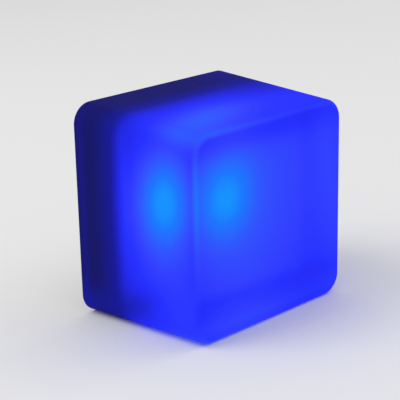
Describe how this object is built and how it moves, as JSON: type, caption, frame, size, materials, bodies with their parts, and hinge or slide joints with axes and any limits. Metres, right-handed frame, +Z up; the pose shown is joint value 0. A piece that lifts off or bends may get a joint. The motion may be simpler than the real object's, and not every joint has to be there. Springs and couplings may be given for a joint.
{
  "type": "led cube light",
  "caption": "Portable light: a tapered frosted block that glows, closed at its rear by a dark tub with a push button and a flap over a charging port.",
  "frame": {"origin": "centre of the flat side wall that the light rests on, on the floor", "axes": "+Z up from the floor; the lit cap faces -Y and the rear panel +Y, both leaning by the draft of the resting wall; X runs across the light, level"},
  "size_m": [0.1, 0.0782, 0.0999],
  "materials": {
    "frosted_blue": "satin frosted translucent blue, lit from inside",
    "dark_plastic": "fine spark-eroded texture",
    "black_silicone": "smooth silicone",
    "black_rubber": "matt rubber",
    "grey_silicone": "soft silicone",
    "steel": "plain stainless steel",
    "nickel": "nickel strip",
    "white_plastic": "white",
    "aluminium": "milled",
    "white_board": "white solder mask",
    "led_chip": "moulded package",
    "clear_dome": "clear dome",
    "button_plastic": "satin",
    "window_plastic": "clear light pipe",
    "green_board": "green solder mask",
    "black_component": "moulded packages",
    "cell_wrap": "shrink wrap",
    "foam": "closed-cell foam",
    "lead_sheath": "soft insulation"
  },
  "bodies": {
    "housing": {"diffuser_shell": "frosted_blue", "base_tub": "dark_plastic", "base_seal": "black_silicone", "base_screws": "steel", "rubber_feet": "black_rubber", "led_deck": "dark_plastic", "deck_screws": "steel", "reflector_sheet": "white_plastic", "heat_spreader": "aluminium", "led_board": "white_board", "led_chips": "led_chip", "led_board_screws": "steel", "led_dome": "clear_dome", "push_switch": "dark_plastic", "charge_socket": "steel", "socket_gasket": "black_silicone", "flap_anchor": "grey_silicone", "indicator_window": "window_plastic", "indicator_chip": "led_chip", "control_board": "green_board", "board_screws": "steel", "board_components": "black_component", "battery_cell": "cell_wrap", "battery_cradle": "dark_plastic", "cradle_screws": "steel", "battery_pad": "foam", "battery_tabs": "nickel", "lead_plugs": "white_plastic", "battery_leads": "lead_sheath", "lamp_leads": "lead_sheath"},
    "button": {"power_button": "button_plastic", "button_seal": "black_silicone", "switch_plunger": "button_plastic"},
    "flap": {"charge_flap": "grey_silicone"}
  },
  "joints": [
    {"name": "power_button_press", "type": "slide", "parent": "housing", "child": "button", "axis": [0, -0.9992, -0.0393], "range_m": [0, 0.0015], "stiffness_N_per_m": 600, "springref_m": -0.002},
    {"name": "charge_flap_hinge", "type": "hinge", "parent": "housing", "child": "flap", "pos_m": [0.015, 0.0332, 0.0686], "axis": [1, 0, 0], "range_deg": [0, 110]}
  ]
}
